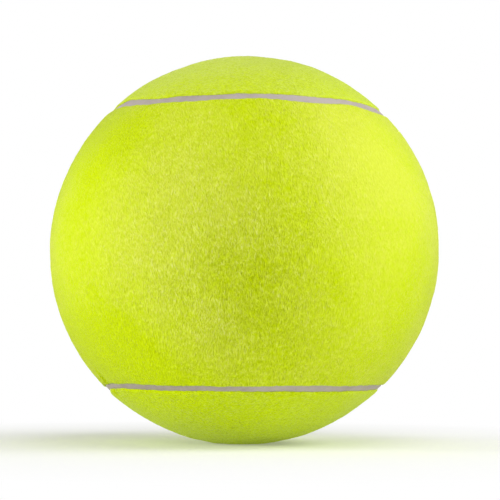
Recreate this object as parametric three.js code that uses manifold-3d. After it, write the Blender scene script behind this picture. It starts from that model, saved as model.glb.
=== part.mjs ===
// Jumbo tennis ball: an inflatable rubber bladder with a needle valve, covered by two
// interlocking felt panels whose edges meet along one closed rubber seam strip.
//
// Millimetres, +Z up. The origin is on the ground under the ball. The two level runs of
// the seam are on the -Y side, the upright ones on the +Y side, and the valve points to +Y.

import * as THREE from 'three';
import { mergeGeometries, mergeVertices } from 'three/addons/utils/BufferGeometryUtils.js';
import Module from 'manifold-3d';

// Whole ball
const BALL_DIAMETER = 240;
const REST_FLAT_DIAMETER = 28; // the patch that the soft ball flattens under its own weight

// Felt cover
const FELT_THICKNESS = 2.4;
const FELT_EDGE_ROUND = 1.2;

// Seam strip between the felt edges
const SEAM_GAP = 5; // felt edge to felt edge, along the surface
const STRIP_EDGE_THICKNESS = 1;
const STRIP_CROWN = 0.3; // how far the middle of the strip rises above its edges

// Bladder
const BLADDER_WALL = 1.4;

// Valve insert: a rubber plug with a passage for an inflating needle
const INSERT_BODY_DIAMETER = 7.4;
const INSERT_BODY_LENGTH = 19;
const INSERT_TIP_DIAMETER = 4.6;
const INSERT_TIP_LENGTH = 3.5;
const INSERT_FLANGE_DIAMETER = 11;
const INSERT_FLANGE_ROUND = 0.7;
const INSERT_RECESS = 0.5; // flange face below the felt round it
const NEEDLE_PASSAGE_DIAMETER = 2;
const NEEDLE_PASSAGE_DEPTH = 15;
const NEEDLE_FUNNEL_DIAMETER = 3.8;
const NEEDLE_FUNNEL_DEPTH = 1.1;

// Valve boss: the sleeve inside the bladder that grips the insert
const BOSS_FLANGE_DIAMETER = 28;
const BOSS_FLANGE_THICKNESS = 1.5;
const BOSS_SLEEVE_WALL = 2.4;
const BOSS_SLEEVE_LENGTH = 15;
const BOSS_FILLET = 2;

// Clearances
const FIT_GAP = 0.3; // between pieces that lie side by side
const BOND_GAP = 0.3; // glue line between layers
const SEAT_MARGIN = 2; // flat land of the bladder past the rim of the boss

// Facets
const HALF_TURN_STEPS = 26; // round each half turn of the seam
const PANEL_ROWS = 8; // from the middle line of a panel to its edge
const ROUND_STEPS = 3;
const CROWN_STEPS = 4;
const BLADDER_COLUMNS = 40;
const BLADDER_ROWS = 20;
const VALVE_COLUMNS = 20; // a divisor of the bladder's columns, so that the facets line up

// Radii and angles from the centre of the ball
const QUARTER = Math.PI / 2;
const SEAM_ANGLE = QUARTER / 2; // each half turn of the seam lies this far from its axis
const BALL_RADIUS = BALL_DIAMETER / 2;
const REST_FLAT_RADIUS = REST_FLAT_DIAMETER / 2;
const CENTRE_HEIGHT = Math.sqrt(BALL_RADIUS ** 2 - REST_FLAT_RADIUS ** 2);
const PANEL_HALF_ANGLE = SEAM_ANGLE - SEAM_GAP / 2 / BALL_RADIUS;
const STRIP_HALF_ANGLE = (SEAM_GAP / 2 - FIT_GAP) / BALL_RADIUS;
const COVER_INNER_RADIUS = BALL_RADIUS - FELT_THICKNESS;
const COVER_FACET_FLATNESS =
  Math.cos(PANEL_HALF_ANGLE / PANEL_ROWS / 2) * Math.cos(Math.PI / HALF_TURN_STEPS / 2);
const BLADDER_RADIUS = COVER_INNER_RADIUS * COVER_FACET_FLATNESS - BOND_GAP;
const BLADDER_INNER_RADIUS = BLADDER_RADIUS - BLADDER_WALL;

// Valve radii, and heights along its axis from the centre of the ball
const BODY_RADIUS = INSERT_BODY_DIAMETER / 2;
const BORE_RADIUS = BODY_RADIUS + FIT_GAP;
const INSERT_FLANGE_RADIUS = INSERT_FLANGE_DIAMETER / 2;
const FELT_HOLE_RADIUS = INSERT_FLANGE_RADIUS + FIT_GAP;
const BOSS_FLANGE_RADIUS = BOSS_FLANGE_DIAMETER / 2;
const SEAT_RADIUS = BOSS_FLANGE_RADIUS + SEAT_MARGIN;
const INSERT_SEAT_HEIGHT = heightOnSphere(BLADDER_RADIUS, BORE_RADIUS) + FIT_GAP;
const INSERT_FACE_HEIGHT = heightOnSphere(BALL_RADIUS, FELT_HOLE_RADIUS) - INSERT_RECESS;

const wasm = await Module();
wasm.setup();

// Height of the point of a sphere that lies the given distance from its axis
function heightOnSphere(sphereRadius, distance) {
  return Math.sqrt(sphereRadius ** 2 - distance ** 2);
}

// Leaves only shared positions, without the triangles that collapse at a pole
function weld(geometry) {
  geometry.deleteAttribute('normal');
  geometry.deleteAttribute('uv');
  const welded = mergeVertices(geometry);
  const corners = welded.index.array;
  const kept = [];
  for (let i = 0; i < corners.length; i += 3) {
    const [a, b, c] = corners.subarray(i, i + 3);
    if (a !== b && b !== c && c !== a) {
      kept.push(a, b, c);
    }
  }
  welded.setIndex(kept);
  return welded;
}

function toSolid(geometry) {
  return new wasm.Manifold(new wasm.Mesh({
    numProp: 3,
    vertProperties: geometry.attributes.position.array,
    triVerts: Uint32Array.from(geometry.index.array),
  }));
}

function subtract(geometry, cutters) {
  let solid = toSolid(geometry);
  for (const cutter of cutters) {
    solid = solid.subtract(toSolid(weld(cutter)));
  }
  const mesh = solid.getMesh();
  const result = new THREE.BufferGeometry();
  result.setAttribute('position', new THREE.BufferAttribute(mesh.vertProperties, 3));
  result.setIndex(new THREE.BufferAttribute(mesh.triVerts, 1));
  return result;
}

function revolve(points, columns) {
  return weld(new THREE.LatheGeometry(points, columns));
}

// Turn that carries the X, Y and Z axes to the given directions
function turn(x, y, z) {
  return new THREE.Matrix4().makeBasis(
    new THREE.Vector3(...x),
    new THREE.Vector3(...y),
    new THREE.Vector3(...z),
  );
}

// Points of a circular arc about a centre, from one angle to another
function arc(centreX, centreY, radius, from, to, steps) {
  const points = [];
  for (let step = 0; step <= steps; step++) {
    const angle = from + (to - from) * step / steps;
    points.push(new THREE.Vector2(
      centreX + radius * Math.cos(angle),
      centreY + radius * Math.sin(angle),
    ));
  }
  return points;
}

// Sweeps a section along the whole seam line. The seam is four half turns: two about the
// Y axis on the +X side, joined smoothly by two about the Z axis on the -X side. The
// section is a list of [angle from the nearest pole or equator, radius] pairs.
function sweepAlongSeam(section) {
  const above = section.map(([angle, radius]) => new THREE.Vector2(
    radius * Math.cos(angle),
    radius * Math.sin(angle),
  ));
  const below = above.map((point) => new THREE.Vector2(point.x, -point.y)).reverse();
  const aroundPole = above.map((point) => new THREE.Vector2(point.y, point.x)).reverse();
  const halfTurn = (points) => new THREE.LatheGeometry(points, HALF_TURN_STEPS, 0, Math.PI);

  const frontTurn = turn([-1, 0, 0], [0, 0, 1], [0, 1, 0]);
  const backTurn = turn([-1, 0, 0], [0, 0, -1], [0, -1, 0]);
  return weld(mergeGeometries([
    halfTurn(above),
    halfTurn(below),
    halfTurn(aroundPole).applyMatrix4(frontTurn),
    halfTurn(aroundPole).applyMatrix4(backTurn),
  ]));
}

// Half section of a felt panel, from its middle line round the soft edge and back inside
function feltSection() {
  const round = Math.min(FELT_EDGE_ROUND, FELT_THICKNESS / 2);
  const roundAngle = round / BALL_RADIUS;
  const section = [];
  for (let row = 0; row < PANEL_ROWS; row++) {
    section.push([(PANEL_HALF_ANGLE - roundAngle) * row / PANEL_ROWS, BALL_RADIUS]);
  }
  for (let step = 0; step <= ROUND_STEPS; step++) {
    const angle = QUARTER * step / ROUND_STEPS;
    section.push([
      PANEL_HALF_ANGLE - roundAngle * (1 - Math.sin(angle)),
      BALL_RADIUS - round * (1 - Math.cos(angle)),
    ]);
  }
  for (let row = PANEL_ROWS; row >= 0; row--) {
    section.push([PANEL_HALF_ANGLE * row / PANEL_ROWS, COVER_INNER_RADIUS]);
  }
  return section;
}

// Closed section of the strip: flat against the bladder, crowned outside
function stripSection() {
  const section = [];
  for (let step = 0; step <= CROWN_STEPS; step++) {
    const across = 2 * step / CROWN_STEPS - 1;
    section.push([
      SEAM_ANGLE + across * STRIP_HALF_ANGLE,
      COVER_INNER_RADIUS + STRIP_EDGE_THICKNESS + STRIP_CROWN * (1 - across ** 2),
    ]);
  }
  section.push([SEAM_ANGLE + STRIP_HALF_ANGLE, COVER_INNER_RADIUS]);
  section.push([SEAM_ANGLE - STRIP_HALF_ANGLE, COVER_INNER_RADIUS]);
  section.push(section[0]);
  return section;
}

// The front panel lies across the ball, the rear one upright: the same panel turned over
const FRONT_PANEL_TURN = turn([0, -1, 0], [0, 0, 1], [-1, 0, 0]);
const REAR_PANEL_TURN = turn([0, 1, 0], [1, 0, 0], [0, 0, -1]);

function frontPanel() {
  return sweepAlongSeam(feltSection()).applyMatrix4(FRONT_PANEL_TURN);
}

// The rear panel has the hole of the valve and the flat on which the ball rests
function rearPanel() {
  const ground = new THREE.BoxGeometry(BALL_DIAMETER, BALL_DIAMETER, BALL_RADIUS);
  ground.translate(0, 0, -CENTRE_HEIGHT - BALL_RADIUS / 2);
  const hole = new THREE.CylinderGeometry(
    FELT_HOLE_RADIUS, FELT_HOLE_RADIUS, BALL_RADIUS, VALVE_COLUMNS,
  );
  hole.translate(0, BALL_RADIUS, 0);
  const panel = sweepAlongSeam(feltSection()).applyMatrix4(REAR_PANEL_TURN);
  return subtract(panel, [ground, hole]);
}

function seamStrip() {
  return sweepAlongSeam(stripSection()).applyMatrix4(FRONT_PANEL_TURN);
}

// A hollow ball, open at the valve, with a flat land inside for the flange of the boss
function bladder() {
  const holeAngle = Math.acos(BORE_RADIUS / BLADDER_RADIUS);
  const seatAngle = Math.acos(SEAT_RADIUS / BLADDER_INNER_RADIUS);
  const innerEdge = heightOnSphere(BLADDER_INNER_RADIUS, BORE_RADIUS);
  const outside = arc(0, 0, BLADDER_RADIUS, -QUARTER, holeAngle, BLADDER_ROWS);
  const inside = arc(0, 0, BLADDER_INNER_RADIUS, seatAngle, -QUARTER, BLADDER_ROWS);
  return revolve([
    ...outside,
    new THREE.Vector2(BORE_RADIUS, innerEdge),
    ...inside,
  ], BLADDER_COLUMNS);
}

// A sleeve with a wide flange that is bonded to the bladder's inner face
function valveBoss() {
  const innerTop = heightOnSphere(BLADDER_INNER_RADIUS, BORE_RADIUS) - BOND_GAP;
  const seatTop = heightOnSphere(BLADDER_INNER_RADIUS, SEAT_RADIUS) - BOND_GAP;
  const slope = (seatTop - innerTop) / (SEAT_RADIUS - BORE_RADIUS);
  const rimTop = innerTop + slope * (BOSS_FLANGE_RADIUS - BORE_RADIUS);
  const underside = rimTop - BOSS_FLANGE_THICKNESS;
  const sleeveRadius = BORE_RADIUS + BOSS_SLEEVE_WALL;
  const sleeveEnd = innerTop - BOSS_SLEEVE_LENGTH;
  return revolve([
    new THREE.Vector2(BORE_RADIUS, sleeveEnd),
    new THREE.Vector2(sleeveRadius, sleeveEnd),
    ...arc(
      sleeveRadius + BOSS_FILLET, underside - BOSS_FILLET, BOSS_FILLET,
      Math.PI, QUARTER, ROUND_STEPS,
    ),
    new THREE.Vector2(BOSS_FLANGE_RADIUS, underside),
    new THREE.Vector2(BOSS_FLANGE_RADIUS, rimTop),
    new THREE.Vector2(BORE_RADIUS, innerTop),
    new THREE.Vector2(BORE_RADIUS, sleeveEnd),
  ], VALVE_COLUMNS);
}

// A plug with a flange outside, a tapered tip and a blind passage for the needle
function valveInsert() {
  const tipEnd = INSERT_SEAT_HEIGHT - INSERT_BODY_LENGTH;
  const passageRadius = NEEDLE_PASSAGE_DIAMETER / 2;
  const passageEnd = INSERT_FACE_HEIGHT - NEEDLE_PASSAGE_DEPTH;
  const round = Math.min(INSERT_FLANGE_ROUND, (INSERT_FACE_HEIGHT - INSERT_SEAT_HEIGHT) / 2);
  return revolve([
    new THREE.Vector2(0, tipEnd),
    new THREE.Vector2(INSERT_TIP_DIAMETER / 2, tipEnd),
    new THREE.Vector2(BODY_RADIUS, tipEnd + INSERT_TIP_LENGTH),
    new THREE.Vector2(BODY_RADIUS, INSERT_SEAT_HEIGHT),
    new THREE.Vector2(INSERT_FLANGE_RADIUS, INSERT_SEAT_HEIGHT),
    ...arc(
      INSERT_FLANGE_RADIUS - round, INSERT_FACE_HEIGHT - round, round,
      0, QUARTER, ROUND_STEPS,
    ),
    new THREE.Vector2(NEEDLE_FUNNEL_DIAMETER / 2, INSERT_FACE_HEIGHT),
    new THREE.Vector2(passageRadius, INSERT_FACE_HEIGHT - NEEDLE_FUNNEL_DEPTH),
    new THREE.Vector2(passageRadius, passageEnd),
    new THREE.Vector2(0, passageEnd),
  ], VALVE_COLUMNS);
}

const felt = new THREE.MeshStandardMaterial({ color: 0xd3e83a, roughness: 0.95, metalness: 0 });
const stripRubber = new THREE.MeshStandardMaterial({ color: 0xb8aca2, roughness: 0.7, metalness: 0 });
const bladderRubber = new THREE.MeshStandardMaterial({ color: 0x2b2a28, roughness: 0.8, metalness: 0 });
const valveRubber = new THREE.MeshStandardMaterial({ color: 0x1f1f1f, roughness: 0.6, metalness: 0 });

function piece(name, geometry, material) {
  geometry.computeVertexNormals();
  const mesh = new THREE.Mesh(geometry, material);
  mesh.name = name;
  return mesh;
}

const ball = new THREE.Group();
ball.position.z = CENTRE_HEIGHT;
ball.add(
  piece('bladder', bladder(), bladderRubber),
  piece('valve_boss', valveBoss(), bladderRubber),
  piece('valve_insert', valveInsert(), valveRubber),
  piece('felt_panel_front', frontPanel(), felt),
  piece('felt_panel_rear', rearPanel(), felt),
  piece('seam_strip', seamStrip(), stripRubber),
);

export default ball;
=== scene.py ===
# Jumbo tennis ball: the felt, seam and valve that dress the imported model, in metres, with the
# photograph's camera, soft studio light and a pale floor.

import math

import bmesh
import bpy
import numpy as np
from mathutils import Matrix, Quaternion, Vector, noise


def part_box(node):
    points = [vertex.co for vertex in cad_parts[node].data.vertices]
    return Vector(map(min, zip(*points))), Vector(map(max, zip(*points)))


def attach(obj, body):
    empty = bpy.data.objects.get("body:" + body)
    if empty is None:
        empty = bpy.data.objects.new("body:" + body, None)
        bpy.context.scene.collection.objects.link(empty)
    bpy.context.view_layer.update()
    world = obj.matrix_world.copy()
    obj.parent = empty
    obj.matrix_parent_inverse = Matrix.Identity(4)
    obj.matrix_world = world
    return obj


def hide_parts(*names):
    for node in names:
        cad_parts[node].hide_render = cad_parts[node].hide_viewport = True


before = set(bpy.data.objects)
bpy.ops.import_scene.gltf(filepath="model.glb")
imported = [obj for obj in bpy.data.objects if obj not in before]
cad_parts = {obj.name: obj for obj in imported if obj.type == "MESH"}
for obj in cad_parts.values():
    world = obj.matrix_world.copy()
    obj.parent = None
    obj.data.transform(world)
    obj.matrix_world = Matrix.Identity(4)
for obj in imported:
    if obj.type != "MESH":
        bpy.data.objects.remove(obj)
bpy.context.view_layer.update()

MM = 0.001
QUARTER = math.pi / 2

# Ball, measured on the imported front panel, whose ends are the ball's left and right poles
panel_low, panel_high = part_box("felt_panel_front")
RADIUS = (panel_high.x - panel_low.x) / 2
CENTRE = np.array([0, 0, (panel_low.z + panel_high.z) / 2])

# Felt cover
FELT_THICKNESS = 2.4 * MM
LIP_WIDTH = 1.8 * MM
LIP_DROP = 0.8 * MM
INNER_RADIUS = RADIUS - FELT_THICKNESS

# Seam strip between the felt edges
SEAM_GAP = 4.4 * MM
STRIP_THICKNESS = 1.4 * MM
STRIP_CROWN = 0.2 * MM
STRIP_GAP = 0.05 * MM

# Each panel in its own axes: the middle of its band, across the band, and along to its ends
FRONT_AXES = np.array([[0, -1, 0], [0, 0, 1], [-1, 0, 0]])
REAR_AXES = np.array([[0, 1, 0], [1, 0, 0], [0, 0, -1]])

# Unevenness: (how high or how far, length from bump to bump, layer of the noise)
SEAM_DRIFT = (0.9 * MM, 90 * MM, 1)
EDGE_WAVES = [(0.6 * MM, 22 * MM, 2), (0.4 * MM, 6.5 * MM, 3), (0.2 * MM, 3.2 * MM, 4)]
BALL_SWELLS = (0.45 * MM, 45 * MM, 21)
FELT_LUMPS = (0.25 * MM, 12 * MM, 22)
FELT_CLUMPS = (0.22 * MM, 3.5 * MM, 23)
WRINKLE_WANDER = (2 * MM, 30 * MM, 31)
STRIP_BUMPS = (0.05 * MM, 4 * MM, 41)
NAP_TONES = [(0.5, 70 * MM, 51), (0.4, 22 * MM, 52)]

# The rear edge's waves lie this many layers after the front edge's. A layer is a step in the noise.
REAR_EDGE_LAYERS = 10
LAYER_STEP = 17.3
NOISE_CELLS_PER_BUMP = 2

# The soft ball is a little longer along one slanting diameter than across it
OVAL_SWELL = 0.7 * MM
OVAL_TILT = math.radians(40)

# Where the front seams were glued off their line: (across and up in ball radii, reach, how far
# the seam lies towards the rear panel, how far each felt edge is drawn back from it)
SEAM_PULLS = [
    (-0.61, 0.71, 22 * MM, 2.3 * MM, 0.9 * MM),
    (-0.48, 0.71, 16 * MM, -0.35 * MM, 0.35 * MM),
    (-0.25, 0.71, 28 * MM, -1.0 * MM, 0.4 * MM),
    (0.05, 0.71, 16 * MM, 0.6 * MM, 0),
    (0.31, 0.71, 20 * MM, -2.0 * MM, 1.0 * MM),
    (0.45, 0.71, 14 * MM, 0.1 * MM, -0.4 * MM),
    (0.60, 0.71, 16 * MM, -0.65 * MM, 0.65 * MM),
    (0.66, 0.71, 26 * MM, -2.2 * MM, 0.6 * MM),
    (-0.60, -0.71, 25 * MM, -1.3 * MM, -0.2 * MM),
    (-0.705, -0.705, 9 * MM, 2.4 * MM, -0.3 * MM),
    (-0.08, -0.71, 20 * MM, -0.3 * MM, -0.3 * MM),
    (0.35, -0.71, 40 * MM, 0.35 * MM, 0.35 * MM),
]

# Shallow wrinkles of the felt low on the left
WRINKLE_PLACE = Vector((-0.80, -0.57, -0.2)).normalized()
WRINKLE_HEIGHT = 0.2 * MM
WRINKLE_LENGTH = 9 * MM
WRINKLE_REACH = 22 * MM

# A small fold of the felt where the lower left seam turns round the side. Each of its two furrows:
# (foot and end in ball radii, depth, width, height of the ridge on its outer side). The ridge lies
# this many widths from its furrow and is as many times as wide.
FOLD_FURROWS = [
    ((-0.673, -0.278, -0.686), (-0.727, -0.300, -0.617), 2.1 * MM, 1.0 * MM, 1.0 * MM),
    ((-0.698, -0.205, -0.686), (-0.714, -0.215, -0.668), 2.0 * MM, 1.4 * MM, 0),
]
FOLD_RIDGE_WIDTHS = 2

# Where the front is paler or deeper, partly by the nap's brushing and partly as painted light and
# shade: paler towards the upper right and the top, deeper low down. (across and up in ball radii,
# reach, how much paler or deeper)
TONE_PATCHES = [
    (-0.35, 0.20, 46 * MM, 0.8),
    (-0.35, -0.22, 26 * MM, 0.5),
    (-0.12, -0.52, 25 * MM, 0.8),
    (0.48, 0.45, 34 * MM, 1.1),
    (0.70, 0.27, 30 * MM, 0.9),
    (0.00, 0.99, 50 * MM, 1.2),
    (-0.50, 0.80, 30 * MM, 0.7),
    (0.50, 0.86, 24 * MM, 0.8),
    (-0.62, -0.56, 40 * MM, -2.0),
    (-0.70, 0.55, 38 * MM, -2.0),
    (-0.10, 0.67, 30 * MM, -0.4),
    (0.15, 0.52, 26 * MM, -0.6),
    (0.25, 0.18, 22 * MM, -0.6),
    (0.05, -0.20, 28 * MM, -0.6),
    (0.74, -0.48, 36 * MM, -0.5),
    (0.00, -0.80, 55 * MM, -0.7),
]

# How deep the nap is, as a share of its full depth, and where the front is rougher or smoother, in
# patches as above
NAP_DEPTH = 0.8
NAP_LEAST_DEPTH = 0.2
DEPTH_PATCHES = [
    (0.00, -0.20, 55 * MM, 0.42),
    (0.72, 0.42, 60 * MM, -0.45),
    (-0.85, 0.08, 50 * MM, -0.5),
    (0.66, -0.20, 45 * MM, -0.36),
]

# Painted light and shade on the strip's front, in the same way: paler on the upper right and low
# right of the middle, darker low on the left
STRIP_PAINTED_LIGHT_PATCHES = [
    (0.33, 0.71, 38 * MM, 0.2),
    (0.25, -0.71, 30 * MM, 0.1),
    (-0.50, -0.71, 40 * MM, -0.12),
]

# Valve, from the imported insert, and the hole in the felt round it
valve_low, valve_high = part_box("valve_insert")
VALVE_FLANGE_RADIUS = (valve_high.x - valve_low.x) / 2
VALVE_FACE = valve_high.y
VALVE_TIP = valve_low.y
VALVE_CLEARANCE = 0.3 * MM
VALVE_HOLE_RADIUS = VALVE_FLANGE_RADIUS + VALVE_CLEARANCE
VALVE_DIMPLE = 0.5 * MM
VALVE_DIMPLE_REACH = 3 * MM

# Mesh steps. Rows of the felt's face lie closer at the edge, by this share.
HALF_TURN_STEPS = 260
OUTER_ROWS = 76
ROW_CROWDING = 0.25
LIP_STEPS = 5
INNER_ROWS = 3
STRIP_STEPS = 8
ROUNDING_STEPS = 6
VALVE_SEGMENTS = 64
FLOOR_SEGMENTS = 64

# Points closer than these are joined, in any mesh and after the valve's hole is cut
WELD = 0.001 * MM
SLIVER = 0.05 * MM

# Edges sharper than these are shaded sharp, on felt and strip and on the plug
SOFT_SHARPNESS = math.radians(50)
PLUG_SHARPNESS = math.radians(35)


def seam_stations(axes):
    """Unit vectors (middle, side) at each step round a panel's edge. A point of the panel lies along
    cos(angle) * middle + sin(angle) * side: angle 0 is its middle line and 45 degrees is the seam."""
    steps = np.arange(HALF_TURN_STEPS) * math.pi / HALF_TURN_STEPS
    sin = np.sin(steps)
    cos = np.cos(steps)
    none = np.zeros_like(steps)
    full = np.ones_like(steps)
    half_turns = [
        ((sin, none, -cos), (none, full, none)),
        ((none, none, full), (-sin, cos, none)),
        ((sin, none, cos), (none, -full, none)),
        ((none, none, -full), (-sin, -cos, none)),
    ]
    middle = np.concatenate([np.stack(turn[0], axis=1) for turn in half_turns])
    side = np.concatenate([np.stack(turn[1], axis=1) for turn in half_turns])
    return middle @ axes, side @ axes


def rough(points, bumps, more_layers=0):
    """Smooth noise at each point, with those bumps' height, length and layer."""
    height, length, layer = bumps
    places = points * (NOISE_CELLS_PER_BUMP / length) + LAYER_STEP * (layer + more_layers)
    return height * np.array([noise.noise(place) for place in places.tolist()])


def nearness(points, across, up, reach):
    """From 1 at a place on the ball's front, given in ball radii, falling to 0 past its reach."""
    place = np.array([across, -math.sqrt(max(1 - across ** 2 - up ** 2, 0)), up]) * RADIUS
    return np.exp(-(np.linalg.norm(points - place, axis=1) / reach) ** 2)


def patches(points, places):
    """The sum of soft round patches on the ball's front, at those points of it."""
    total = np.zeros(len(points))
    for across, up, reach, strength in places:
        total = total + strength * nearness(points, across, up, reach)
    return total


def seam_edges(middle, side):
    """How far the front and the rear felt edge lie from the seam's middle line, at each station."""
    line = (middle + side) * (RADIUS / math.sqrt(2))
    drift = rough(line, SEAM_DRIFT)
    half_gap = SEAM_GAP / 2
    for across, up, reach, shift, draw in SEAM_PULLS:
        near = nearness(line, across, up, reach)
        drift = drift + shift * near
        half_gap = half_gap + draw * near
    front = half_gap - drift
    rear = half_gap + drift
    for waves in EDGE_WAVES:
        front = front + rough(line, waves)
        rear = rear + rough(line, waves, REAR_EDGE_LAYERS)
    return front, rear


def nap_depth(points):
    """How deep the nap is at those points of the ball, as a share of its full depth."""
    return np.maximum(NAP_DEPTH + patches(points, DEPTH_PATCHES), NAP_LEAST_DEPTH)


def nap_tone(points):
    """How much paler or deeper the nap looks at those points: partly by the way it is brushed, and
    partly as painted light and shade.
    """
    tone = patches(points, TONE_PATCHES)
    for tones in NAP_TONES:
        tone = tone + rough(points, tones)
    return tone


def ball_relief(points):
    """How far the soft ball stands above or below a true sphere at those points of it."""
    normals = points / RADIUS
    long_way = np.array([math.cos(OVAL_TILT), 0, math.sin(OVAL_TILT)])
    short_way = np.array([-math.sin(OVAL_TILT), 0, math.cos(OVAL_TILT)])
    oval = OVAL_SWELL * ((normals @ long_way) ** 2 - (normals @ short_way) ** 2)
    return oval + rough(points, BALL_SWELLS)


def wrinkle_relief(points):
    """Level wrinkles that wander a little and fade out round their place."""
    away = np.linalg.norm(points - np.array(WRINKLE_PLACE) * RADIUS, axis=1) / WRINKLE_REACH
    level = points[:, 2] + rough(points, WRINKLE_WANDER)
    return WRINKLE_HEIGHT * np.exp(-away ** 2) * np.sin(level * 2 * math.pi / WRINKLE_LENGTH)


def fold_relief(points, foot, end, depth, width, ridge):
    """One furrow of the fold, with its ridge."""
    start = np.array(foot) * RADIUS
    fold = np.array(end) * RADIUS - start
    outward = np.cross(start, fold)
    outward = outward / np.linalg.norm(outward)
    along = (points - start) @ fold / (fold @ fold)
    aside = (points - start) @ outward / width
    furrow = ridge * np.exp(-(aside / FOLD_RIDGE_WIDTHS - 1) ** 2) - depth * np.exp(-aside ** 2)
    return furrow * np.exp(-along ** 2) * (points @ start > 0)


def dimple_relief(points):
    """The felt pulled in round the valve."""
    from_valve = np.hypot(points[:, 0], points[:, 2])
    past_hole = np.maximum(from_valve - VALVE_HOLE_RADIUS, 0) / VALVE_DIMPLE_REACH
    return -VALVE_DIMPLE * np.exp(-past_hole ** 2) * (points[:, 1] > 0)


def felt_relief(points):
    """How far the felt stands above the ball's nominal surface at those points of it."""
    relief = ball_relief(points)
    nap = nap_depth(points)
    for bumps in (FELT_LUMPS, FELT_CLUMPS):
        relief = relief + nap * rough(points, bumps)
    relief = relief + wrinkle_relief(points)
    for furrow in FOLD_FURROWS:
        relief = relief + fold_relief(points, *furrow)
    return relief + dimple_relief(points)


def mesh_piece(name, points, faces):
    """A closed mesh with coincident points joined, standing at the frame's origin."""
    mesh = bpy.data.meshes.new(name)
    mesh.from_pydata(points.tolist(), [], faces.tolist())
    built = bmesh.new()
    built.from_mesh(mesh)
    bmesh.ops.remove_doubles(built, verts=built.verts, dist=WELD)
    bmesh.ops.recalc_face_normals(built, faces=built.faces)
    built.to_mesh(mesh)
    built.free()
    piece = bpy.data.objects.new(name, mesh)
    bpy.context.collection.objects.link(piece)
    return piece


def smooth(piece, sharpness):
    """Shades a piece smooth, apart from edges sharper than the given angle."""
    piece.data.shade_smooth()
    piece.data.set_sharp_from_angle(angle=sharpness)


def swept_faces(stations, rows, closed):
    """Quads between neighbouring stations of a closed loop, and neighbouring rows of its section."""
    row_steps = rows if closed else rows - 1
    station, row = np.meshgrid(np.arange(stations), np.arange(row_steps), indexing="ij")
    next_station = (station + 1) % stations
    next_row = (row + 1) % rows
    corners = [
        station * rows + row,
        next_station * rows + row,
        next_station * rows + next_row,
        station * rows + next_row,
    ]
    return np.stack(corners, axis=-1).reshape(-1, 4)


def swept_section(axes, section):
    """Directions from the ball's centre at each station and row, and each row's radius, for a
    section of (angle at each station, radius) rows."""
    middle, side = seam_stations(axes)
    angles = np.stack([angle for angle, radius in section], axis=1)[..., None]
    radii = np.array([radius for angle, radius in section])
    return np.cos(angles) * middle[:, None] + np.sin(angles) * side[:, None], radii


def felt_panel(name, axes, edge):
    """A felt panel with a soft uneven face, a rounded lip along the seam and a plain inner face."""
    edge_angle = QUARTER / 2 - edge / RADIUS
    lip_angle = LIP_WIDTH / RADIUS
    section = []
    for row in range(OUTER_ROWS):
        part = row / OUTER_ROWS
        closer_at_edge = part * (1 + ROW_CROWDING - ROW_CROWDING * part)
        section.append(((edge_angle - lip_angle) * closer_at_edge, RADIUS))
    for step in range(LIP_STEPS + 1):
        along = step / LIP_STEPS
        section.append((edge_angle - lip_angle * (1 - along), RADIUS - LIP_DROP * along ** 2))
    for row in range(INNER_ROWS, -1, -1):
        section.append((edge_angle * row / INNER_ROWS, INNER_RADIUS))

    directions, radii = swept_section(axes, section)
    stations, rows = directions.shape[:2]
    relief = felt_relief(directions.reshape(-1, 3) * RADIUS).reshape(stations, rows)
    share = (radii - INNER_RADIUS) / FELT_THICKNESS
    points = directions * (radii + share * relief)[..., None] + CENTRE
    points[..., 2] = np.maximum(points[..., 2], 0)
    return mesh_piece(name, points.reshape(-1, 3), swept_faces(stations, rows, closed=False))


def seam_strip(name, front_edge, rear_edge):
    """The rubber strip, one closed loop that fills the gap between the two felt edges."""
    low = QUARTER / 2 - (front_edge - STRIP_GAP) / RADIUS
    high = QUARTER / 2 + (rear_edge - STRIP_GAP) / RADIUS
    section = []
    for step in range(STRIP_STEPS + 1):
        across = step / STRIP_STEPS
        crown = STRIP_CROWN * 4 * across * (1 - across)
        section.append((low + (high - low) * across, INNER_RADIUS + STRIP_THICKNESS + crown))
    section.append((high, INNER_RADIUS))
    section.append((low, INNER_RADIUS))

    directions, radii = swept_section(FRONT_AXES, section)
    stations, rows = directions.shape[:2]
    nominal = directions.reshape(-1, 3) * RADIUS
    relief = (ball_relief(nominal) + rough(nominal, STRIP_BUMPS)).reshape(stations, rows)
    share = np.minimum((radii - INNER_RADIUS) / STRIP_THICKNESS, 1)
    points = directions * (radii + share * relief)[..., None] + CENTRE
    return mesh_piece(name, points.reshape(-1, 3), swept_faces(stations, rows, closed=True))


def points_of(piece):
    """A piece's points, measured from the ball's centre."""
    points = np.empty(len(piece.data.vertices) * 3)
    piece.data.vertices.foreach_get("co", points)
    return points.reshape(-1, 3) - CENTRE


def paint(piece, name, values):
    """Stores a value at each point of a piece, for its material to read."""
    attribute = piece.data.attributes.new(name, "FLOAT", "POINT")
    attribute.data.foreach_set("value", values)


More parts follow.
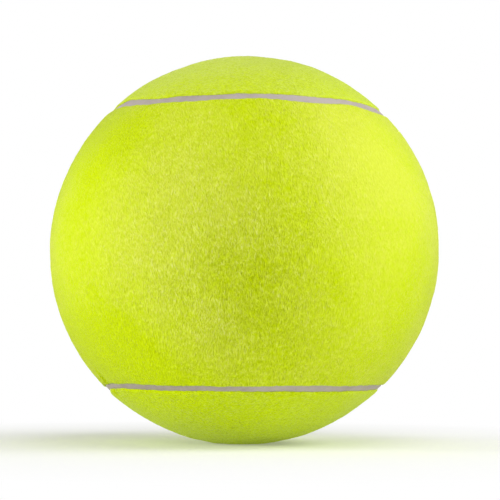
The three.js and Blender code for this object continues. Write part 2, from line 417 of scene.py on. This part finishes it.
def cut_valve_hole(panel):
    """Cuts the round hole of the valve through a felt panel."""
    cutter_mesh = bpy.data.meshes.new("valve_hole")
    built = bmesh.new()
    bmesh.ops.create_cone(
        built, cap_ends=True, segments=VALVE_SEGMENTS, depth=RADIUS,
        radius1=VALVE_HOLE_RADIUS, radius2=VALVE_HOLE_RADIUS,
    )
    built.to_mesh(cutter_mesh)
    built.free()
    cutter = bpy.data.objects.new("valve_hole", cutter_mesh)
    cutter.location = Vector(CENTRE) + Vector((0, RADIUS, 0))
    cutter.rotation_euler = (QUARTER, 0, 0)
    bpy.context.collection.objects.link(cutter)

    cut = panel.modifiers.new("valve_hole", "BOOLEAN")
    cut.operation = "DIFFERENCE"
    cut.object = cutter
    bpy.context.view_layer.update()
    evaluated = panel.evaluated_get(bpy.context.evaluated_depsgraph_get())
    whole = panel.data
    panel.data = bpy.data.meshes.new_from_object(evaluated)
    panel.modifiers.clear()
    bpy.data.meshes.remove(whole)
    bpy.data.objects.remove(cutter)
    bpy.data.meshes.remove(cutter_mesh)

    # The cut leaves slivers, and points in the middle of straight edges
    built = bmesh.new()
    built.from_mesh(panel.data)
    bmesh.ops.remove_doubles(built, verts=built.verts, dist=SLIVER)
    spare = [point for point in built.verts if len(point.link_edges) == 2]
    bmesh.ops.dissolve_verts(built, verts=spare)
    built.to_mesh(panel.data)
    built.free()


def quarter_round(centre, radius):
    """Points of a quarter circle in a revolved profile, as (distance from the axis, height) pairs."""
    points = []
    for step in range(ROUNDING_STEPS + 1):
        angle = QUARTER * step / ROUNDING_STEPS
        points.append((centre[0] + radius * math.cos(angle), centre[1] + radius * math.sin(angle)))
    return points


def valve_plug(name):
    """The rubber plug, turned from a profile of (distance from the axis, height) pairs: tapered tip,
    ribbed body, flange with a ring round the needle hole, and the blind passage."""
    flange = VALVE_FLANGE_RADIUS
    face = VALVE_FACE
    seat = face - 2.18 * MM
    flange_bevel = 0.3 * MM
    flange_round = 0.7 * MM
    body = 3.7 * MM
    rib_depths = (12 * MM, 9 * MM, 6 * MM)
    rib_height = 0.15 * MM
    rib_half_width = 0.7 * MM
    tip = 2.3 * MM
    tip_bevel_width = 0.4 * MM
    tip_bevel_height = 0.3 * MM
    taper = 3.5 * MM
    groove_outside = 3.7 * MM
    groove_floor_outside = 3.5 * MM
    groove_floor_inside = 3.2 * MM
    groove_inside = 3.0 * MM
    groove_depth = 0.25 * MM
    funnel = 1.9 * MM
    funnel_bevel_width = 0.2 * MM
    funnel_bevel_depth = 0.1 * MM
    funnel_depth = 1.1 * MM
    passage = 1 * MM
    passage_depth = 15 * MM

    profile = [
        (0, VALVE_TIP),
        (tip - tip_bevel_width, VALVE_TIP),
        (tip, VALVE_TIP + tip_bevel_height),
        (body, VALVE_TIP + taper),
    ]
    for depth in rib_depths:
        middle = seat - depth
        profile.append((body, middle - rib_half_width))
        profile.append((body + rib_height, middle))
        profile.append((body, middle + rib_half_width))
    profile += [(body, seat), (flange - flange_bevel, seat), (flange, seat + flange_bevel)]
    profile += quarter_round((flange - flange_round, face - flange_round), flange_round)
    profile += [
        (groove_outside, face),
        (groove_floor_outside, face - groove_depth),
        (groove_floor_inside, face - groove_depth),
        (groove_inside, face),
        (funnel + funnel_bevel_width, face),
        (funnel, face - funnel_bevel_depth),
        (passage, face - funnel_depth),
        (passage, face - passage_depth),
        (0, face - passage_depth),
    ]

    outline = np.array(profile)
    turns = np.arange(VALVE_SEGMENTS) * 2 * math.pi / VALVE_SEGMENTS
    points = np.stack([
        np.outer(np.cos(turns), outline[:, 0]),
        np.broadcast_to(outline[:, 1], (VALVE_SEGMENTS, len(outline))),
        np.outer(np.sin(turns), outline[:, 0]),
    ], axis=-1)
    faces = swept_faces(VALVE_SEGMENTS, len(outline), closed=False)
    return mesh_piece(name, points.reshape(-1, 3) + CENTRE, faces)


# Noise in materials: how fast its finer detail fades, its middle value, and the part of its range
# that most of it fills
NOISE_ROUGHNESS = 0.55
NOISE_MIDDLE = 0.5
NOISE_RANGE = (0.3, 0.7)


class Shading:
    """One node tree, with short calls that add a node and return one of its outputs."""

    def __init__(self, tree):
        self.tree = tree
        self.tree.nodes.clear()

    def node(self, kind, inputs, output=0, **settings):
        made = self.tree.nodes.new(kind)
        for name, value in settings.items():
            setattr(made, name, value)
        for name, value in inputs.items():
            if isinstance(value, bpy.types.NodeSocket):
                self.tree.links.new(value, made.inputs[name])
            else:
                made.inputs[name].default_value = value
        return made.outputs[output]

    def place(self):
        """Object coordinates in metres."""
        return self.node("ShaderNodeTexCoord", {}, output="Object")

    def drawn_out(self, place, stretch, turn):
        """Coordinates in which a pattern is drawn out along turned axes."""
        inputs = {"Vector": place, "Rotation": turn, "Scale": stretch}
        return self.node("ShaderNodeMapping", inputs, vector_type="TEXTURE")

    def noise(self, place, size, detail, output="Fac"):
        inputs = {"Vector": place, "Scale": 1 / size, "Detail": detail, "Roughness": NOISE_ROUGHNESS}
        return self.node("ShaderNodeTexNoise", inputs, output=output)

    def ripple(self, place, size, strength, detail):
        """Noise of that strength that goes up and down from 0."""
        level = self.math("SUBTRACT", self.noise(place, size, detail), NOISE_MIDDLE)
        return self.math("MULTIPLY", level, strength)

    def painted(self, name):
        """The value that paint stored under that name."""
        return self.node("ShaderNodeAttribute", {}, output="Fac", attribute_name=name)

    def math(self, operation, first, second):
        return self.node("ShaderNodeMath", {0: first, 1: second}, operation=operation)

    def vector(self, operation, first, second):
        return self.node("ShaderNodeVectorMath", {0: first, 1: second}, operation=operation)

    def spread(self, value, low, high, to_low=0.0, to_high=1.0):
        """The value's range from low to high, drawn out to another range and held inside it."""
        inputs = {"Value": value, "From Min": low, "From Max": high, "To Min": to_low, "To Max": to_high}
        return self.node("ShaderNodeMapRange", inputs)

    def ramp(self, factor, stops):
        """The colour at that factor between (position, colour) stops."""
        colours = self.node("ShaderNodeValToRGB", {"Fac": factor})
        elements = colours.node.color_ramp.elements
        while len(elements) < len(stops):
            elements.new(1)
        for element, (position, colour) in zip(elements, stops):
            element.position = position
            element.color = (*colour, 1)
        return colours

    def mix(self, factor, first, second):
        """A colour between two others. The node's colour sockets share their names with its other
        sockets, so they go by number."""
        inputs = {0: factor, 6: first, 7: second}
        return self.node("ShaderNodeMix", inputs, output=2, data_type="RGBA")

    def bump(self, height, distance, strength):
        inputs = {"Height": height, "Distance": distance, "Strength": strength}
        return self.node("ShaderNodeBump", inputs)

    def output(self, kind, shader):
        made = self.tree.nodes.new(kind)
        self.tree.links.new(shader, made.inputs["Surface"])

    def surface(self, inputs):
        self.output("ShaderNodeOutputMaterial", self.node("ShaderNodeBsdfPrincipled", inputs))


def new_material(name):
    """A new material and its empty node tree."""
    material = bpy.data.materials.new(name)
    material.use_nodes = True
    return material, Shading(material.node_tree)


# Felt colours from the pits between the strands to their tips, darker in the pits as painted shade
# and paler at the tips as painted highlight, over the fibres' own colour. One ramp is for where the
# nap is deeper and the others for where it is paler, partly by its brushing and partly as painted
# light and shade.
FELT_DEEP = [(0, (0.495, 0.62, 0.001)), (0.5, (0.645, 0.81, 0.002)), (1, (0.80, 0.94, 0.015))]
FELT_PALE = [(0, (0.56, 0.655, 0.02)), (0.5, (0.74, 0.835, 0.065)), (1, (0.91, 0.965, 0.31))]
REAR_PALE = [(0, (0.52, 0.65, 0.02)), (0.5, (0.665, 0.815, 0.07)), (1, (0.81, 0.93, 0.30))]

# The strands swirl by this much, over this length, and each turn of them is shifted by this per degree
SWIRL = 3 * MM
SWIRL_LENGTH = 26 * MM
STRAND_SHIFT = 0.1

# What is added to the strands' height and to the nap's tone: (size, strength)
NAP_CLUMPS = (3.2 * MM, 0.09)
NAP_FLUFF = (0.5 * MM, 0.12)
NAP_MOTTLE = (2.6 * MM, 3.3)

# Heights of the strands in their noise: the level that a shallow nap draws in to, and the ranges
# that colour and roughness follow, the colour darker low down as painted shade and paler high up as
# painted highlight. Then the range of the nap's tone, and the bump's depth.
STRAND_MIDDLE = 0.6
STRAND_COLOURED = (0.36, 0.88)
STRAND_ROUGHENED = (0.4, 0.8)
PIT_ROUGHNESS = 1.0
STRAND_TIP_ROUGHNESS = 0.85
TONE_RANGE = (-1, 1)
FELT_BUMP = 1.6 * MM

# How the front nap is combed: its lean, and how much it bends aside from the middle up and down
NAP_LEAN = 0.09
NAP_BEND = 0.16


def front_combing(shading):
    """Places from the ball's centre, changed so that strands drawn out along z lie as the front nap
    is combed and don't break off where the ball curves away from the front."""
    centred = shading.vector("SUBTRACT", shading.place(), tuple(CENTRE))
    x, y, z = shading.node("ShaderNodeSeparateXYZ", {"Vector": centred}).node.outputs
    bend = shading.math("MULTIPLY", shading.math("MULTIPLY", z, z), NAP_BEND / RADIUS)
    lean = shading.math("MULTIPLY", z, NAP_LEAN)
    across = shading.math("ADD", shading.math("ADD", x, bend), lean)

    # Depth hardly changes near the front: with u = y / radius it is y * (1 - 2/3 u^2 + 1/5 u^4), which
    # grows by (1 - u^2)^2 for each step along y
    u = shading.math("MULTIPLY", y, 1 / RADIUS)
    u_squared = shading.math("MULTIPLY", u, u)
    lost = shading.math("SUBTRACT", 2 / 3, shading.math("MULTIPLY", u_squared, 1 / 5))
    lost = shading.math("MULTIPLY", u_squared, lost)
    depth = shading.math("MULTIPLY", y, shading.math("SUBTRACT", 1, lost))
    return shading.node("ShaderNodeCombineXYZ", {"X": across, "Y": depth, "Z": z})


def felt_material(name, pale, combing, stretch, strand_width, turns):
    """Short-napped felt: strands that lie over each other along the nap, with deep pits between them."""
    material, shading = new_material(name)
    place = shading.place()
    combed = combing(shading)
    swirl = shading.noise(place, SWIRL_LENGTH, detail=1.0, output="Color")
    swirl = shading.vector("SUBTRACT", swirl, [NOISE_MIDDLE] * 3)
    swirl = shading.vector("MULTIPLY", swirl, [SWIRL] * 3)
    strands = 0.0
    for degrees in turns:
        turned = shading.drawn_out(combed, stretch, (0, math.radians(degrees), 0))
        lying = shading.vector("ADD", turned, swirl)
        lying = shading.vector("ADD", lying, (STRAND_SHIFT * degrees, 0, 0))
        strand = shading.noise(lying, strand_width, detail=0.6)
        strands = shading.math("MAXIMUM", strands, strand)

    height = shading.math("ADD", strands, shading.ripple(place, *NAP_CLUMPS, detail=2.0))
    height = shading.math("ADD", height, shading.ripple(place, *NAP_FLUFF, detail=0.0))
    height = shading.math("SUBTRACT", height, STRAND_MIDDLE)
    height = shading.math("MULTIPLY", height, shading.painted("nap_depth"))
    height = shading.math("ADD", height, STRAND_MIDDLE)

    mottle = shading.ripple(place, *NAP_MOTTLE, detail=3.0)
    tone = shading.math("ADD", shading.painted("nap_tone"), mottle)
    # Colour by strand height: painted shade in the pits, painted highlight on the tips
    shade = shading.spread(height, *STRAND_COLOURED)
    # From deep to pale: partly the nap's brushing, partly painted light and shade
    brushing_and_painted_light = shading.spread(tone, *TONE_RANGE)
    colour = shading.mix(brushing_and_painted_light, shading.ramp(shade, FELT_DEEP), shading.ramp(shade, pale))
    roughness = shading.spread(height, *STRAND_ROUGHENED, PIT_ROUGHNESS, STRAND_TIP_ROUGHNESS)
    shading.surface({
        "Base Color": colour,
        "Roughness": roughness,
        "Normal": shading.bump(height, FELT_BUMP, strength=1.0),
        "Specular IOR Level": 0.04,
        "Sheen Weight": 0.33,
        "Sheen Roughness": 0.2,
        "Sheen Tint": (1, 1, 0.78, 1),
    })
    return material


# Rubber colours, from dark to pale
STRIP_TONES = [(0, (0.36, 0.305, 0.275)), (0.5, (0.435, 0.375, 0.345)), (1, (0.50, 0.44, 0.41))]
VALVE_TONES = [(0, (0.012, 0.012, 0.012)), (1, (0.022, 0.022, 0.021))]
BLADDER_TONES = [(0, (0.02, 0.019, 0.017)), (1, (0.036, 0.034, 0.031))]

# Strip rubber: sizes of its clouds and grain, the grain's share in its tone, depth of its pits
STRIP_CLOUDS = 9 * MM
STRIP_GRAIN = 0.7 * MM
STRIP_GRAIN_SHARE = 0.4
STRIP_PITS = 0.1 * MM
STRIP_ROUGHNESS = (0.62, 0.8)

# Dark rubber, in the same way. The grain's size and the roughness are each part's own.
RUBBER_DUST = 12 * MM
RUBBER_GRAIN_SHARE = 0.3
RUBBER_PITS = 0.06 * MM
RUBBER_ROUGHNESS_SPREAD = 0.08


def cloudy(shading, cloud_size, grain_size, grain_share):
    """Clouds, fine grain, and a tone made of both."""
    place = shading.place()
    clouds = shading.noise(place, cloud_size, detail=3.0)
    grain = shading.noise(place, grain_size, detail=2.0)
    cloud_part = shading.math("MULTIPLY", clouds, 1 - grain_share)
    grain_part = shading.math("MULTIPLY", grain, grain_share)
    return clouds, grain, shading.math("ADD", cloud_part, grain_part)


def strip_material():
    """Matte rubber with a cloudy tone, painted light and shade in a few stretches, and fine cast pits.
    """
    material, shading = new_material("seam_rubber")
    clouds, grain, tone = cloudy(shading, STRIP_CLOUDS, STRIP_GRAIN, STRIP_GRAIN_SHARE)
    # Painted light and shade: the tone raised where the strip is lit more and lowered where it is shaded
    tone = shading.math("ADD", tone, shading.painted("painted_strip_light"))
    shading.surface({
        "Base Color": shading.ramp(shading.spread(tone, *NOISE_RANGE), STRIP_TONES),
        "Roughness": shading.spread(clouds, *NOISE_RANGE, *STRIP_ROUGHNESS),
        "Normal": shading.bump(grain, STRIP_PITS, strength=0.6),
        "Specular IOR Level": 0.3,
    })
    return material


def dark_rubber_material(name, tones, roughness, grain_size):
    """Moulded dark rubber with dusty patches and a fine grain."""
    material, shading = new_material(name)
    dust, grain, tone = cloudy(shading, RUBBER_DUST, grain_size, RUBBER_GRAIN_SHARE)
    smoothest = roughness - RUBBER_ROUGHNESS_SPREAD
    roughest = roughness + RUBBER_ROUGHNESS_SPREAD
    shading.surface({
        "Base Color": shading.ramp(shading.spread(tone, *NOISE_RANGE), tones),
        "Roughness": shading.spread(dust, *NOISE_RANGE, smoothest, roughest),
        "Normal": shading.bump(grain, RUBBER_PITS, strength=0.5),
        "Specular IOR Level": 0.4,
    })
    return material


def wear(piece, material):
    """Gives a piece that one material."""
    piece.data.materials.clear()
    piece.data.materials.append(material)


# Light levels: the share of full white that a lamp gives a white surface that faces it
AMBIENT_LEVEL = 0.4
FLOOR_GLOW = 0.19

# Lamps: (name, azimuth from the camera's side to the right, elevation, level, width)
LAMPS = [
    ("right", 85, 30, 0.435, 1.1),
    ("left", -85, 8, 0.45, 0.6),
    ("front", 0, 20, 0.165, 1.0),
    ("top", 20, 62, 0.225, 1.2),
]
LAMP_DISTANCE = 1.8

# Floor, which turns white between these distances from the ball's foot
FLOOR_COLOUR = (0.8, 0.8, 0.8, 1)
FLOOR_RADIUS = 8.0
FLOOR_FADE = (0.13, 0.34)


def seen_directly(shading):
    """1 for rays that come straight from the camera, a reflection or a clear surface, and else 0."""
    path = shading.node("ShaderNodeLightPath", {}).node
    seen = shading.math("MAXIMUM", path.outputs["Is Camera Ray"], path.outputs["Is Glossy Ray"])
    return shading.math("MAXIMUM", seen, path.outputs["Is Transmission Ray"])


def add_world():
    """Even light from all round, seen as white."""
    world = bpy.data.worlds.new("studio")
    bpy.context.scene.world = world
    world.use_nodes = True
    shading = Shading(world.node_tree)
    strength = shading.spread(seen_directly(shading), 0.0, 1.0, AMBIENT_LEVEL, 1.0)
    glow = shading.node("ShaderNodeBackground", {"Color": (1, 1, 1, 1), "Strength": strength})
    shading.output("ShaderNodeOutputWorld", glow)


def add_floor():
    """A pale floor that keeps the ball's shadow and fades to white away from it."""
    mesh = bpy.data.meshes.new("floor")
    built = bmesh.new()
    bmesh.ops.create_circle(built, cap_ends=True, segments=FLOOR_SEGMENTS, radius=FLOOR_RADIUS)
    built.to_mesh(mesh)
    built.free()
    floor = bpy.data.objects.new("floor", mesh)
    bpy.context.collection.objects.link(floor)

    material, shading = new_material("floor")
    matte = shading.node("ShaderNodeBsdfDiffuse", {"Color": FLOOR_COLOUR})
    glow = shading.node("ShaderNodeEmission", {"Strength": FLOOR_GLOW})
    white = shading.node("ShaderNodeEmission", {"Strength": 1.0})
    near = shading.node("ShaderNodeAddShader", {0: matte, 1: glow})
    place = shading.place()
    distance = shading.node("ShaderNodeVectorMath", {0: place}, output="Value", operation="LENGTH")
    fade = shading.spread(distance, *FLOOR_FADE)
    seen = shading.node("ShaderNodeMixShader", {0: fade, 1: near, 2: white})
    surface = shading.node("ShaderNodeMixShader", {0: seen_directly(shading), 1: near, 2: seen})
    shading.output("ShaderNodeOutputMaterial", surface)
    wear(floor, material)


def add_softbox(name, azimuth, elevation, level, width):
    """A round soft lamp aimed at the ball."""
    turn = math.radians(azimuth)
    rise = math.radians(elevation)
    back = Vector((math.sin(turn) * math.cos(rise), -math.cos(turn) * math.cos(rise), math.sin(rise)))
    data = bpy.data.lights.new(name, "AREA")
    data.shape = "DISK"
    data.size = width
    data.energy = level * math.pi ** 2 * LAMP_DISTANCE ** 2
    lamp = bpy.data.objects.new(name, data)
    lamp.location = Vector(CENTRE) + back * LAMP_DISTANCE
    lamp.rotation_mode = "QUATERNION"
    lamp.rotation_quaternion = back.to_track_quat("Z", "Y")
    lamp.visible_camera = False
    bpy.context.collection.objects.link(lamp)


# Camera: the ball's outline is a circle of this radius in the photograph, at this place
IMAGE_SIZE = 500
OUTLINE_RADIUS = 194.3
OUTLINE_CENTRE = (244.05, 250.0)
CAMERA_DISTANCE = 8.9 * RADIUS
CAMERA_ELEVATION = math.radians(-3.36)
CAMERA_ROLL = math.radians(0.37)
CAMERA_CLIPPING = (0.01, 100)
SENSOR_WIDTH = 36.0


def add_camera():
    """The photograph's camera."""
    back = Vector((0, -math.cos(CAMERA_ELEVATION), math.sin(CAMERA_ELEVATION)))
    outline_slope = math.tan(math.asin(RADIUS / CAMERA_DISTANCE))
    image_middle = (IMAGE_SIZE - 1) / 2
    data = bpy.data.cameras.new("camera")
    data.sensor_width = SENSOR_WIDTH
    data.lens = SENSOR_WIDTH * OUTLINE_RADIUS / IMAGE_SIZE / outline_slope
    data.shift_x = (image_middle - OUTLINE_CENTRE[0]) / IMAGE_SIZE
    data.shift_y = (OUTLINE_CENTRE[1] - image_middle) / IMAGE_SIZE
    data.clip_start, data.clip_end = CAMERA_CLIPPING
    camera = bpy.data.objects.new("camera", data)
    camera.location = Vector(CENTRE) + back * CAMERA_DISTANCE
    camera.rotation_mode = "QUATERNION"
    camera.rotation_quaternion = back.to_track_quat("Z", "Y") @ Quaternion((0, 0, 1), CAMERA_ROLL)
    bpy.context.collection.objects.link(camera)
    bpy.context.scene.camera = camera


# Felt: both panels meet at the same seam, and each goes round it from its own middle
front_edge, rear_edge = seam_edges(*seam_stations(FRONT_AXES))
rear_panel_edge = seam_edges(*seam_stations(REAR_AXES))[1]
cover_front = felt_panel("felt_cover_front", FRONT_AXES, front_edge)
cover_rear = felt_panel("felt_cover_rear", REAR_AXES, rear_panel_edge)
cut_valve_hole(cover_rear)
wear(cover_front, felt_material(
    "felt_front", FELT_PALE, front_combing,
    stretch=(1, 1, 4.0), strand_width=0.54 * MM, turns=(0, 10, -10),
))
wear(cover_rear, felt_material(
    "felt_rear", REAR_PALE, Shading.place,
    stretch=(1.6, 1, 1), strand_width=1.0 * MM, turns=(0, 45, -45),
))
for cover, node in ((cover_front, "felt_panel_front"), (cover_rear, "felt_panel_rear")):
    smooth(cover, SOFT_SHARPNESS)
    # The nap's tone, partly brushing and partly painted light and shade
    paint(cover, "nap_tone", nap_tone(points_of(cover)))
    paint(cover, "nap_depth", nap_depth(points_of(cover)))
    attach(cover, "ball")
    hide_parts(node)

# Seam
strip = seam_strip("seam_band", front_edge, rear_edge)
smooth(strip, SOFT_SHARPNESS)
# Painted light and shade on the strip
paint(strip, "painted_strip_light", patches(points_of(strip), STRIP_PAINTED_LIGHT_PATCHES))
wear(strip, strip_material())
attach(strip, "ball")
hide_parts("seam_strip")

# Valve
plug = valve_plug("valve_plug")
smooth(plug, PLUG_SHARPNESS)
wear(plug, dark_rubber_material("valve_rubber", VALVE_TONES, roughness=0.5, grain_size=0.4 * MM))
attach(plug, "valve")
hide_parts("valve_insert")

# Inside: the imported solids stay, in a better material
bladder_rubber = dark_rubber_material(
    "bladder_rubber", BLADDER_TONES, roughness=0.75, grain_size=1.2 * MM,
)
for node in ("bladder", "valve_boss"):
    wear(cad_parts[node], bladder_rubber)

# Stage
add_camera()
add_world()
add_floor()
for lamp in LAMPS:
    add_softbox(*lamp)
bpy.context.scene.view_settings.view_transform = "Standard"
